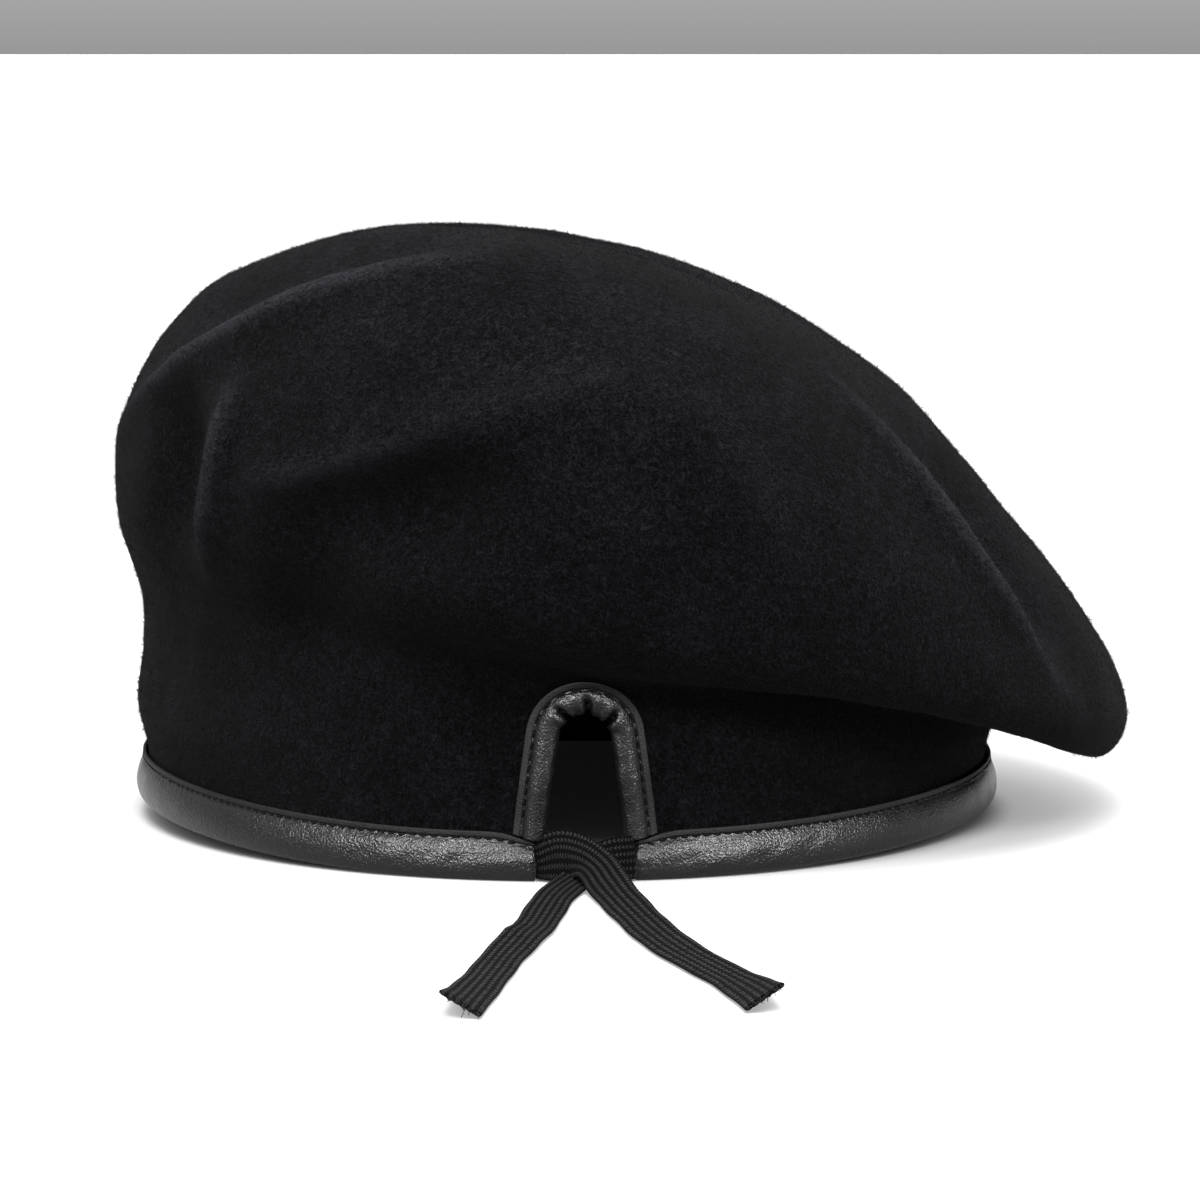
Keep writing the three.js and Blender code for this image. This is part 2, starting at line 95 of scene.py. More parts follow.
# Folds: from, via, to, reach to either side, and how far they push the felt out.
FOLD_ROWS = [
    ("left_ridge", (-97, 2, 76), (-69, -68, 109), (0, -84, 130), 6, 3.2),
    ("left_dip", (-92, -10, 94), (-56, -56, 120), (0, -68, 130), 13, -7),
    ("right_ridge", (50, -66, 106), (82, -72, 66), (112, -50, 24), 6, 3.2),
    ("right_dip", (60, -42, 104), (92, -54, 64), (114, -40, 30), 13, -7.5),
    ("left_dent", (-77, -64, 104), (-82, -60, 78), (-84, -48, 46), 10, -7),
    ("left_fold", (-66, -76, 105), (-71, -76, 80), (-74, -62, 52), 5, 2.8),
    ("mid_ridge", (-74, -74, 78), (-32, -102, 88.5), (22, -100, 108), 7, 3.6),
    ("mid_dip", (-62, -81, 76), (-36, -100, 76), (-6, -107, 84), 13, -6.5),
    ("low_dip", (-44, -95, 74), (-50, -88, 58), (-56, -78, 36), 13, -3.5),
    ("soft_ridge", (8, -97, 112), (31, -104, 86), (50, -99, 52), 11, 1.4),
]
FOLD_SAMPLES = 12
FOLD_FADE = 0.4  # a fold fades in over this share of its length at either end
CREST_WIDTH = 0.4  # a fold that stands proud has a crest, this share of its width
CREST_SHARE = 0.3  # and this share of its height
CREST_HIGHLIGHT_WIDTH = 2.3  # painted highlight, not wear: the felt is coloured paler this wide along the top of a fold
CREST_HIGHLIGHT_FROM = 2  # that stands prouder than this
# How much of the painted crest highlight goes into the felt's colour, and how much paler that colour
# is.
CREST_HIGHLIGHT_SHARE = 0.8
CREST_HIGHLIGHT_LIGHTER = 2.6

# Middle lines of the drawstring's two ends, in metres from the middle of the head opening:
# x, y, z and the tape's tilt in degrees from lying flat.
TIE_TO_RIGHT_ROWS = [
    (-0.0044, -0.095, 0.0052, 90),
    (-0.001, -0.0974, 0.0068, 72),
    (0.003, -0.1008, 0.0066, 52),
    (0.0064, -0.1048, 0.005, 38),
    (0.0087, -0.1115, 0.003, 28),
    (0.0104, -0.119, 0.0021, 20),
    (0.0141, -0.1377, 0.0016, 13),
    (0.018, -0.1567, 0.0015, 12),
    (0.0223, -0.172, 0.0013, 9),
    (0.0266, -0.1842, 0.0012, 7),
    (0.0311, -0.197, 0.0013, 9),
    (0.0342, -0.21, 0.0021, 20),
    (0.036, -0.22, 0.0029, 32),
]
TIE_TO_LEFT_ROWS = [
    (0.0139, -0.0946, 0.0052, 90),
    (0.0096, -0.0954, 0.0046, 72),
    (0.0056, -0.0976, 0.0028, 34),
    (0.0024, -0.1014, 0.0014, 6),
    (0.0002, -0.107, 0.0009, 3),
    (-0.0018, -0.1165, 0.0008, 2),
    (-0.0053, -0.1464, 0.0009, 2),
    (-0.0068, -0.1555, 0.0014, 9),
    (-0.0082, -0.163, 0.0012, 6),
    (-0.0108, -0.177, 0.0009, 3),
    (-0.013, -0.193, 0.001, 4),
    (-0.0153, -0.211, 0.0017, 14),
    (-0.0169, -0.225, 0.0028, 30),
]

RIBS = 6  # along each tape

rng = np.random.default_rng(56)


def unit(vectors):
    return vectors / np.linalg.norm(vectors, axis=-1, keepdims=True)


def add_mesh(name, points, faces, materials, flat=(), uv=None):
    """Makes one piece from points in metres and faces of any size; flat lists its sharp faces."""
    mesh = bpy.data.meshes.new(name)
    mesh.from_pydata(points.tolist(), [], faces)
    mesh.shade_smooth()
    for index in flat:
        mesh.polygons[index].use_smooth = False
    if uv is not None:
        layer = mesh.uv_layers.new(name="UVMap")
        corners = np.empty(len(mesh.loops), dtype=np.int32)
        mesh.loops.foreach_get("vertex_index", corners)
        layer.data.foreach_set("uv", uv[corners].astype(np.float32).ravel())
    for material in materials:
        mesh.materials.append(material)
    piece = bpy.data.objects.new(name, mesh)
    bpy.context.scene.collection.objects.link(piece)
    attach(piece, "root")
    return piece


def placed(points):
    """Millimetres from the middle of the head opening to metres in the row's frame."""
    return points * MM + RING_CENTRE


def swept_faces(stations, count):
    """Quads over stations of one closed outline, and a cap at either end."""
    a = np.arange(stations - 1)[:, None] * count + np.arange(count)[None, :]
    b = np.arange(stations - 1)[:, None] * count + (np.arange(count)[None, :] + 1) % count
    quads = np.stack([a, b, b + count, a + count], axis=-1).reshape(-1, 4).tolist()
    first = list(range(count))[::-1]
    last = [(stations - 1) * count + i for i in range(count)]
    return quads + [first, last]


def rounded(outline, rounds):
    """Cuts the corners of a closed outline, so that it turns smoothly."""
    outline = np.array(outline, dtype=float)
    for _ in range(rounds):
        after = np.roll(outline, -1, axis=0)
        outline = np.stack([outline * 0.75 + after * 0.25, outline * 0.25 + after * 0.75], axis=1)
        outline = outline.reshape(-1, 2)
    return outline


def noise_at(points, size, seed):
    """Smooth noise from about -1 to 1 at points in millimetres, with lumps of that size."""
    shift = Vector((seed, seed * 1.7, seed * 0.3))
    flat = points.reshape(-1, 3) / size
    values = np.array([noise.noise(Vector(p) + shift) for p in flat])
    return values.reshape(points.shape[:-1])


def lumps_at(points, rows):
    """The sum of noises at points, from rows of size, seed and height."""
    return sum(noise_at(points, size, seed) * height for size, seed, height in rows)


# Materials

def shader(name, roughness, **settings):
    material = bpy.data.materials.new(name)
    material.use_nodes = True
    bsdf = material.node_tree.nodes["Principled BSDF"]
    bsdf.inputs["Roughness"].default_value = roughness
    for socket, value in settings.items():
        bsdf.inputs[socket.replace("_", " ")].default_value = value
    return material, material.node_tree, bsdf


def node(tree, kind, **settings):
    made = tree.nodes.new(kind)
    for key, value in settings.items():
        if key.startswith("in_"):
            made.inputs[key[3:].replace("_", " ")].default_value = value
        else:
            setattr(made, key, value)
    return made


def texture(tree, source, kind, scale, stretch=(1, 1, 1), **settings):
    """A texture with scale lumps to the metre, in the space of the source."""
    mapping = node(tree, "ShaderNodeMapping")
    mapping.inputs["Scale"].default_value = stretch
    tree.links.new(source, mapping.inputs["Vector"])
    made = node(tree, kind, in_Scale=scale, **settings)
    tree.links.new(mapping.outputs["Vector"], made.inputs["Vector"])
    return made


def ramp(tree, value, stops):
    made = node(tree, "ShaderNodeValToRGB")
    elements = made.color_ramp.elements
    while len(elements) < len(stops):
        elements.new(0.5)
    for element, (position, colour) in zip(elements, stops):
        element.position = position
        element.color = (*colour, 1.0)
    tree.links.new(value, made.inputs["Fac"])
    return made.outputs["Color"]


def map_range(tree, value, start, end, low, high, smooth=False):
    """Low up to start and high from end on, with a straight or smooth rise between them."""
    made = node(
        tree, "ShaderNodeMapRange", interpolation_type="SMOOTHSTEP" if smooth else "LINEAR",
        in_From_Min=start, in_From_Max=end, in_To_Min=low, in_To_Max=high,
    )
    tree.links.new(value, made.inputs["Value"])
    return made.outputs["Result"]


def remap(tree, value, low, high):
    """A value from 0 to 1 brought to low to high."""
    return map_range(tree, value, 0, 1, low, high)


def maths(tree, operation, *operands):
    """One sum of sockets and numbers."""
    made = node(tree, "ShaderNodeMath", operation=operation)
    for socket, operand in zip(made.inputs, operands):
        if isinstance(operand, bpy.types.NodeSocket):
            tree.links.new(operand, socket)
        else:
            socket.default_value = operand
    return made.outputs["Value"]


def add(tree, a, b, share):
    """The socket a and a share of the socket b."""
    return maths(tree, "MULTIPLY_ADD", b, share, a)


def bump(tree, bsdf, height, distance, strength=1.0):
    made = node(tree, "ShaderNodeBump", in_Strength=strength, in_Distance=distance)
    tree.links.new(height, made.inputs["Height"])
    tree.links.new(made.outputs["Normal"], bsdf.inputs["Normal"])


def mixed(tree, parts):
    """A weighted mean of noises, each from 0 to 1 and about 0.5 on average."""
    (first, weight), *rest = parts
    total = remap(tree, first.outputs["Fac"], 0, weight)
    for part, weight in rest:
        total = add(tree, total, part.outputs["Fac"], weight)
    return total


def felt_material(name, dark, light, sheen):
    """Black felt with fine lighter flecks, and a painted highlight: paler colour where a point
    attribute marks the crest of a fold.
    """
    material, tree, bsdf = shader(
        name, 0.95, Specular_IOR_Level=0.05, Sheen_Weight=sheen, Sheen_Roughness=0.45
    )
    place = node(tree, "ShaderNodeTexCoord").outputs["Object"]
    clouds = texture(tree, place, "ShaderNodeTexNoise", 60, in_Detail=4)
    fuzz = texture(tree, place, "ShaderNodeTexNoise", 850, in_Detail=3, in_Distortion=1.5)
    hairs = texture(
        tree, place, "ShaderNodeTexNoise", 1500, (1, 1, 0.3), in_Detail=3, in_Distortion=3
    )
    speck = mixed(tree, [(fuzz, 0.5), (hairs, 0.35), (clouds, 0.15)])
    middle = tuple(d * 0.7 + l * 0.3 for d, l in zip(dark, light))
    colour = ramp(tree, speck, [(0.41, dark), (0.52, middle), (0.64, light)])
    # Painted highlight: along the crests of folds the colour turns paler, standing in for light
    # caught there.
    highlight_colour = tuple(c * CREST_HIGHLIGHT_LIGHTER for c in light)
    highlit_colour = ramp(tree, speck, [(0.36, middle), (0.56, highlight_colour)])
    crest_highlight = node(tree, "ShaderNodeAttribute", attribute_name="crest_highlight")
    blend = node(tree, "ShaderNodeMix", data_type="RGBA")
    share = maths(tree, "MULTIPLY", crest_highlight.outputs["Fac"], CREST_HIGHLIGHT_SHARE)
    tree.links.new(share, blend.inputs["Factor"])
    tree.links.new(colour, blend.inputs["A"])
    tree.links.new(highlit_colour, blend.inputs["B"])
    tree.links.new(blend.outputs["Result"], bsdf.inputs["Base Color"])
    tree.links.new(remap(tree, fuzz.outputs["Fac"], 0.85, 1.0), bsdf.inputs["Roughness"])
    bump(tree, bsdf, speck, 0.0016, 0.9)
    return material


def leather_material(name, base, roughness, gloss):
    """Leather with fine pebbles and creases."""
    material, tree, bsdf = shader(name, roughness, Specular_IOR_Level=gloss)
    place = node(tree, "ShaderNodeTexCoord").outputs["Object"]
    clouds = texture(tree, place, "ShaderNodeTexNoise", 110, in_Detail=4)
    pebbles = texture(
        tree, place, "ShaderNodeTexVoronoi", 2100, feature="SMOOTH_F1", in_Smoothness=0.5
    )
    creases = texture(tree, place, "ShaderNodeTexNoise", 2300, in_Detail=2, in_Distortion=0.7)
    height = add(tree, creases.outputs["Fac"], pebbles.outputs["Distance"], 0.9)
    tone = mixed(tree, [(clouds, 0.6), (creases, 0.4)])
    lighter = tuple(c * 2 for c in base)
    tree.links.new(ramp(tree, tone, [(0.35, base), (0.65, lighter)]), bsdf.inputs["Base Color"])
    rough = remap(tree, tone, roughness - 0.15, roughness + 0.15)
    tree.links.new(rough, bsdf.inputs["Roughness"])
    bump(tree, bsdf, height, 0.00012)
    return material


def thread_material(name, base):
    material, tree, bsdf = shader(name, 0.6, Specular_IOR_Level=0.2)
    place = node(tree, "ShaderNodeTexCoord").outputs["Object"]
    strands = texture(tree, place, "ShaderNodeTexNoise", 3500, (1, 1, 0.4), in_Detail=2)
    colour = ramp(tree, strands.outputs["Fac"], [(0.3, tuple(c * 0.5 for c in base)), (0.8, base)])
    tree.links.new(colour, bsdf.inputs["Base Color"])
    tree.links.new(remap(tree, strands.outputs["Fac"], 0.5, 0.75), bsdf.inputs["Roughness"])
    bump(tree, bsdf, strands.outputs["Fac"], 0.0002)
    return material


def elastic_material(name, dark, light, stitches):
    """Knitted ribs: pale slanting stitches run along each rib, and the colour darkens into the
    grooves between them as painted shade.
    """
    material, tree, bsdf = shader(name, 0.85, Specular_IOR_Level=0.1, Sheen_Weight=0.01)
    coords = node(tree, "ShaderNodeTexCoord").outputs
    split = node(tree, "ShaderNodeSeparateXYZ")
    tree.links.new(coords["UV"], split.inputs["Vector"])
    within = maths(tree, "FRACT", maths(tree, "MULTIPLY", split.outputs["X"], RIBS))
    side = maths(tree, "ABSOLUTE", maths(tree, "SUBTRACT", within, 0.5))
    along = maths(tree, "MULTIPLY", split.outputs["Y"], stitches)
    fuzz = texture(tree, coords["Object"], "ShaderNodeTexNoise", 2500, in_Detail=3)
    slubs = texture(tree, coords["Object"], "ShaderNodeTexNoise", 420, in_Detail=2)
    along = add(tree, add(tree, along, side, 1.3), slubs.outputs["Fac"], 1.5)
    yarn = maths(tree, "SINE", maths(tree, "MULTIPLY", along, 2 * math.pi))
    yarn = maths(tree, "MULTIPLY_ADD", yarn, 0.5, 0.5)
    edge = add(tree, maths(tree, "MULTIPLY_ADD", yarn, 0.2, 0.22), fuzz.outputs["Fac"], -0.08)
    # Painted shade: off the rib the colour falls towards the dark end, darkening the grooves where
    # shade falls.
    rib = map_range(tree, maths(tree, "SUBTRACT", edge, side), 0, 0.16, 0, 1, smooth=True)
    dash = maths(tree, "MULTIPLY_ADD", yarn, 0.85, -0.1)
    knit = maths(tree, "MULTIPLY", add(tree, dash, slubs.outputs["Fac"], 0.6), rib)
    height = add(tree, maths(tree, "MULTIPLY", knit, 0.75), fuzz.outputs["Fac"], 0.25)
    tree.links.new(ramp(tree, height, [(0.16, dark), (0.85, light)]), bsdf.inputs["Base Color"])
    tree.links.new(remap(tree, fuzz.outputs["Fac"], 0.75, 0.95), bsdf.inputs["Roughness"])
    bump(tree, bsdf, height, 0.0005)
    return material


felt = felt_material("felt_ground", (0.0007, 0.0007, 0.001), (0.0176, 0.018, 0.021), 0.015)
fibre = felt_material("felt_fibre", (0.008, 0.0082, 0.0096), (0.036, 0.037, 0.043), 0.02)
leather = leather_material("rim_leather", (0.001, 0.001, 0.0011), 0.33, 0.22)
cut_leather = leather_material("cut_edge", (0.004, 0.004, 0.0042), 0.6, 0.06)
stitch_thread = thread_material("stitch_thread", (0.002, 0.002, 0.0022))
# The elastic's dark colour also serves as the painted shade in its grooves.
elastic = elastic_material("knitted_elastic", (0.001, 0.001, 0.0012), (0.04, 0.04, 0.042), 12)
loose_yarn = thread_material("loose_yarn", (0.03, 0.03, 0.031))


# Camera

PITCH = math.radians(6.95)
CAMERA_DISTANCE = 1.0
AIM = Vector(RING_CENTRE) + Vector((0.0073, 0, 0.0457))

camera_data = bpy.data.cameras.new("camera")
camera_data.lens = 135.5
camera_data.sensor_width = 36
camera = bpy.data.objects.new("camera", camera_data)
bpy.context.scene.collection.objects.link(camera)
camera.location = AIM + CAMERA_DISTANCE * Vector((0, -math.cos(PITCH), math.sin(PITCH)))
camera.rotation_euler = (math.pi / 2 - PITCH, 0, 0)
bpy.context.scene.camera = camera


# The drawstring's two ends

def smooth_line(points, places):
    """Centripetal Catmull-Rom line through the points, read at places between them."""
    ends = np.vstack([2 * points[0] - points[1], points, 2 * points[-1] - points[-2]])
    row = np.minimum(np.floor(places).astype(int), len(points) - 2)
    p0, p1, p2, p3 = (ends[row + k] for k in range(4))

    def step(a, b):
        return (np.sum((b - a) ** 2, axis=1) ** 0.25)[:, None]

    d0, d1, d2 = step(p0, p1), step(p1, p2), step(p2, p3)
    slope_in = ((p1 - p0) / d0 - (p2 - p0) / (d0 + d1) + (p2 - p1) / d1) * d1
    slope_out = ((p2 - p1) / d1 - (p3 - p1) / (d1 + d2) + (p3 - p2) / d2) * d1
    t = (places - row)[:, None]
    square = 3 * (p2 - p1) - 2 * slope_in - slope_out
    cube = 2 * (p1 - p2) + slope_in + slope_out
    return p1 + t * slope_in + t**2 * square + t**3 * cube


def tie_frames(rows, side, count):
    rows = np.array(rows, dtype=float)
    points = rows[:, :3] + RING_CENTRE
    places = np.linspace(0, len(rows) - 1, count)
    line = smooth_line(points, places)
    small = 0.01
    after = smooth_line(points, np.minimum(places + small, len(rows) - 1))
    before = smooth_line(points, np.maximum(places - small, 0))
    ahead = unit(after - before)
    tilt = np.radians(np.interp(places, np.arange(len(rows)), rows[:, 3]))[:, None]
    level = unit(np.cross((0, 0, 1), ahead)) * side
    lifted = unit(np.cross(ahead, level)) * side
    across = level * np.cos(tilt) + lifted * np.sin(tilt)
    face = unit(np.cross(ahead, across))
    return line, ahead, across, face


TAPE_STATIONS = 300
RIB_SAMPLES = 8
TAPE_LIES_FROM = 2.9  # from this row of its table on, the tape's lower half lies with the rest
TAPE_TURNS_OVER = 1.4  # and it turns down to there over this many rows from standing on edge
TAPE_STRETCH = 1.5  # standing, it is stretched by this much at most, to reach the floor
RIPPLE = 0.02  # the tape's width comes and goes by this share
RIPPLE_LENGTH = 0.0031
KNIT_OPENS = (0.012, 0.035)  # from here to here along a tape its stitches grow longer,
KNIT_SHARE = 0.4  # until only this share of them is left


def tape_outline():
    """The tape's section, ribbed on both faces: -1 to 1 across and about -0.5 to 0.5 thick."""
    samples = RIBS * RIB_SAMPLES
    across = np.linspace(-1, 1, samples + 1)
    rib = np.abs(np.sin((across + 1) / 2 * RIBS * math.pi)) ** 0.7
    edge = np.sqrt(np.clip(1 - np.abs(across) ** 10, 0, 1))
    half = (0.36 + 0.13 * rib) * edge + 0.02
    upper = np.stack([across, half], axis=1)
    lower = np.stack([across[::-1], -half[::-1]], axis=1)
    return np.vstack([lower, upper])


def tie(name, node_name, rows, side, reach_back, fray_name):
    """One end of the drawstring, which starts reach_back inside the band's end."""
    line, ahead, across, face = tie_frames(rows, side, TAPE_STATIONS)
    line[0] -= ahead[0] * reach_back
    outline = tape_outline()
    steps = np.linalg.norm(np.diff(line, axis=0), axis=1)
    travel = np.concatenate([[0], np.cumsum(steps)])
    kept = np.interp(travel[1:], KNIT_OPENS, (1, KNIT_SHARE))
    knit = np.concatenate([[0], np.cumsum(steps * kept)]) / TIE_WIDTH
    u = outline[:, 0][None, :]
    stretch = 1 + RIPPLE * np.sin(travel / RIPPLE_LENGTH)[:, None]
    wide = u * TIE_WIDTH / 2 * stretch
    thick = outline[:, 1][None, :] * TIE_THICKNESS
    row = np.linspace(0, len(rows) - 1, TAPE_STATIONS)
    room = (line[:, 2] - TIE_THICKNESS / 2) / (TIE_WIDTH / 2)
    above_floor = (room - across[:, 2]) / np.maximum(1 - across[:, 2], 0.001)
    upright = np.minimum((TAPE_LIES_FROM - row) / TAPE_TURNS_OVER, above_floor).clip(0, 1)
    upright = upright[:, None, None] * (u[..., None] < 0)
    lean = across[:, None, :] * (1 - upright) + np.array([0, 0, 1.0]) * upright
    wide = wide * (1 + (np.clip(room[:, None], 1, TAPE_STRETCH) - 1) * upright[..., 0])
    points = line[:, None, :] + lean * wide[..., None] + face[:, None, :] * thick[..., None]
    stations, count = points.shape[:2]
    uv = np.stack([
        np.broadcast_to((u + 1) / 2, (stations, count)),
        np.broadcast_to(knit[:, None], (stations, count)),
    ], axis=-1).reshape(-1, 2)
    faces = swept_faces(stations, count)
    tape = add_mesh(
        name, points.reshape(-1, 3), faces, [elastic], uv=uv, flat=(len(faces) - 2, len(faces) - 1)
    )
    fray = frayed_end(fray_name, line[-1], ahead[-1], across[-1], face[-1])
    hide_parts(node_name)


def threads(paths, radius, sides):
    """Closed thin tubes along the paths, in their unit, as one set of points and faces."""
    paths = np.asarray(paths)
    count, steps = paths.shape[:2]
    ahead = unit(np.gradient(paths, axis=1))
    helper = np.where(np.abs(ahead[..., 2:3]) > 0.9, (1.0, 0.0, 0.0), (0.0, 0.0, 1.0))
    one = unit(np.cross(ahead, helper))
    two = np.cross(ahead, one)
    angle = np.arange(sides) / sides * 2 * math.pi
    ring = one[:, :, None, :] * np.cos(angle)[:, None] + two[:, :, None, :] * np.sin(angle)[:, None]
    points = paths[:, :, None, :] + ring * radius
    faces = []
    single = swept_faces(steps, sides)
    for i in range(count):
        offset = i * steps * sides
        faces.extend([[v + offset for v in face] for face in single])
    return points.reshape(-1, 3), faces


FRAY_STRANDS = 46
FRAY_STEPS = 5
FRAY_LENGTHS = (0.0004, 0.0016)
FRAY_RADIUS = 0.00007


def frayed_end(name, end, ahead, across, face):
    """Short loose strands that curl out of a tape's cut end."""
    count = FRAY_STRANDS
    start = (
        end
        + across * rng.uniform(-0.48, 0.48, (count, 1)) * TIE_WIDTH
        + face * rng.uniform(-0.3, 0.3, (count, 1)) * TIE_THICKNESS
    )
    drift = unit(
        ahead + across * rng.normal(0, 0.35, (count, 1)) + face * rng.normal(0, 0.35, (count, 1))
    )
    curl = rng.normal(0, 0.45, (count, 3))
    reach = rng.uniform(*FRAY_LENGTHS, (count, 1))
    t = np.linspace(-0.3, 1, FRAY_STEPS)[None, :, None]
    bend = drift[:, None, :] * t + curl[:, None, :] * t**2 / 2
    paths = start[:, None, :] + bend * reach[:, None]
    paths[..., 2] = np.maximum(paths[..., 2], 0.0001)
    points, faces = threads(paths, FRAY_RADIUS, 4)
    return add_mesh(name, points, faces, [loose_yarn])


tie("drawstring_right", "tie_right", TIE_TO_RIGHT_ROWS, 1, 0.0013, "fray_right")
tie("drawstring_left", "tie_left", TIE_TO_LEFT_ROWS, -1, 0.0005, "fray_left")


# The crown

def along_rows(values, first, last, place):
    """The smooth curve through one value for each row, given one more beyond either end."""
    values = np.concatenate([[first], values, [last]])
    row = np.minimum(np.floor(place).astype(int), len(values) - 4)
    t = place - row
    a, b, c, d = (values[row + k] for k in range(4))
    near = 2 * t**3 - 3 * t**2 + 1
    slopes = (c - a) / 2 * (t**3 - 2 * t**2 + t) + (d - b) / 2 * (t**3 - t**2)
    return b * near + c * (1 - near) + slopes


def row_number(name):
    return [row[0] for row in RING_ROWS].index(name)


def side_value(side, item, place):
    """One side's radius, item 0, or height, item 1, at a place among the rows."""
    values = np.array([row[SIDES[side]][item] for row in RING_ROWS], dtype=float)
    beyond = -values[-2] if item == 0 else values[-2]
    return along_rows(values, 2 * values[0] - values[1], beyond, place)


def corner_value(place):
    values = np.array([CORNER_HEIGHTS.get(row[0], 0) for row in RING_ROWS], dtype=float)
    return along_rows(values, 0, 0, place)


def rim_lift(azimuth):
    """How far the rim stands off the surface below at an azimuth."""
    cos = np.cos(azimuth)
    aside = np.maximum(0, np.abs(cos) - RIM_FLAT_SHARE) / (1 - RIM_FLAT_SHARE)
    return aside**2 * np.where(cos > 0, RIM_LIFT_RIGHT, RIM_LIFT_LEFT)


def above_rim(points):
    """How high points on the felt lie above the rim's underside."""
    return points[..., 2] - rim_lift(np.arctan2(points[..., 1], points[..., 0]))


def main_form(place, azimuth):
    """The crown without folds: place runs up through the rows, azimuth round from +X."""
    place, azimuth = np.broadcast_arrays(place, azimuth)
    cos, sin = np.cos(azimuth), np.sin(azimuth)
    right, far, left, near = (side_value(side, 1, place) for side in SIDES)
    radii = [side_value(side, 0, place) for side in SIDES]
    across = np.maximum(np.where(cos > 0, radii[0], radii[2]), 1e-6)
    along = np.maximum(np.where(sin > 0, radii[1], radii[3]), 1e-6)
    corner = np.where((cos > 0) & (sin < 0), np.sin(2 * azimuth) ** 2, 0.0)
    start, end = row_number("band_top"), row_number("waist")
    fall = np.clip((place - start) / (end - start), 0, 1)
    lift_share = 1 - fall * fall * (3 - 2 * fall)
    radius = 1 / np.hypot(cos / across, sin / along)
    height = (
        (right + left + far + near) / 4
        + (right - left) / 2 * cos
        + (far - near) / 2 * sin
        + (right + left - far - near) / 4 * np.cos(2 * azimuth)
        + corner * corner_value(place)
        + lift_share * rim_lift(azimuth)
    )
    return np.stack([radius * cos, radius * sin, height], axis=-1)


def fold_height(points):
    """How far the folds push the felt out at points of the main form, and how strongly a painted
    highlight pales it there along a fold's crest.
    """
    total = np.zeros(points.shape[:-1])
    crest_highlight = np.zeros(points.shape[:-1])
    s = np.linspace(0, 1, FOLD_SAMPLES + 1)[:, None]
    for _, start, via, end, width, push in FOLD_ROWS:
        start, via, end = (np.array(p, dtype=float) for p in (start, via, end))
        line = start * (1 - s) * (1 - 2 * s) + via * 4 * s * (1 - s) + end * s * (2 * s - 1)
        nearest = np.full(points.shape[:-1], np.inf)
        place = np.zeros(points.shape[:-1])
        for i in range(FOLD_SAMPLES):
            a, ab = line[i], line[i + 1] - line[i]
            along = np.clip(((points - a) @ ab) / (ab @ ab), 0, 1)
            away = np.linalg.norm(points - a - along[..., None] * ab, axis=-1)
            closer = away < nearest
            nearest = np.where(closer, away, nearest)
            place = np.where(closer, (i + along) / FOLD_SAMPLES, place)
        share = np.clip(np.minimum(place, 1 - place) / FOLD_FADE, 0, 1)
        fade = share * share * (3 - 2 * share)
        soft = np.exp(-((nearest / width) ** 2))
        crisp = np.exp(-((nearest / (CREST_WIDTH * width)) ** 2)) if push > 0 else 0
        total += push * fade * (soft + CREST_SHARE * crisp)
        # Painted highlight along the crest of each fold that stands proud enough.
        if push > CREST_HIGHLIGHT_FROM:
            crest_highlight = np.maximum(crest_highlight, fade * np.exp(-((nearest / CREST_HIGHLIGHT_WIDTH) ** 2)))
    return total, crest_highlight


def grid_normals(grid, top):
    around = np.roll(grid, -1, axis=1) - np.roll(grid, 1, axis=1)
    above = np.concatenate([grid[1:], np.broadcast_to(top, (1, *grid.shape[1:]))])
    below = np.concatenate([grid[:1], grid[:-1]])
    return unit(np.cross(around, above - below))


def slit_depth(x, z):
    """How far inside the slit's outline a place is, and below zero outside."""
    aside, above = np.abs(x - SLIT_X), z - SLIT_ARCH_HEIGHT
    leg = aside * math.cos(SLIT_SPREAD) + above * math.sin(SLIT_SPREAD)
    on_leg = above * math.cos(SLIT_SPREAD) < aside * math.sin(SLIT_SPREAD)
    return SLIT_ARCH_RADIUS - np.where(on_leg, leg, np.hypot(aside, above))


CROWN_SIDES = 336
STEPS_PER_ROW = 8
LUMP_ROWS = [(17, 0.0, 0.5), (6, 3.1, 0.12)]
LUMPS_RISE = 12  # they rise to their height over this much of the wall above the band


# Stores the painted crest highlight on a piece's points, for its felt material to read.
def mark_crest_highlight(piece, values):
    layer = piece.data.attributes.new("crest_highlight", "FLOAT", "POINT")
    layer.data.foreach_set("value", values.astype(np.float32))


